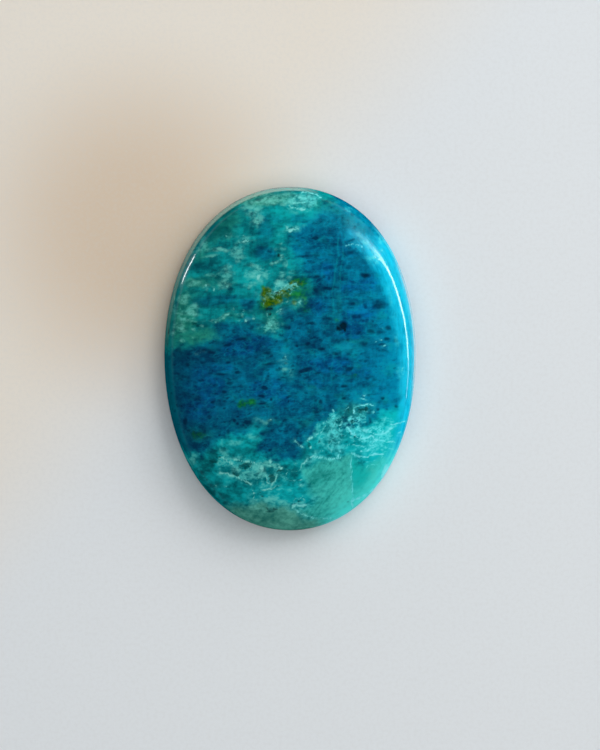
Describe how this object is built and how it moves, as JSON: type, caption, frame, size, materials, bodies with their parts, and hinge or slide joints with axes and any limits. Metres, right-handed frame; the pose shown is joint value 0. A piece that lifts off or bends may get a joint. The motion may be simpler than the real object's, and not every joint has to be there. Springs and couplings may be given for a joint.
{
  "type": "shattuckite cabochon",
  "caption": "Oval gemstone cabochon with a low polished dome, a leaning bezel wall and a flat back, to lie loose or to sit in a bezel setting.",
  "frame": {"origin": "middle of the flat back, which is the middle of the bounding box's bottom", "axes": "+Z out of the dome; +Y along the long axis, towards the slightly wider end, which is the upper end in the picture; +X to the right when looking down on the dome"},
  "size_m": [0.022, 0.03, 0.0048],
  "materials": {
    "shattuckite": "polished to a high gloss; deep blue with dark flecks, teal and turquoise zones, pale mottling and veins, and small olive green spots"
  },
  "bodies": {
    "root": {"cabochon": "shattuckite"}
  },
  "joints": []
}
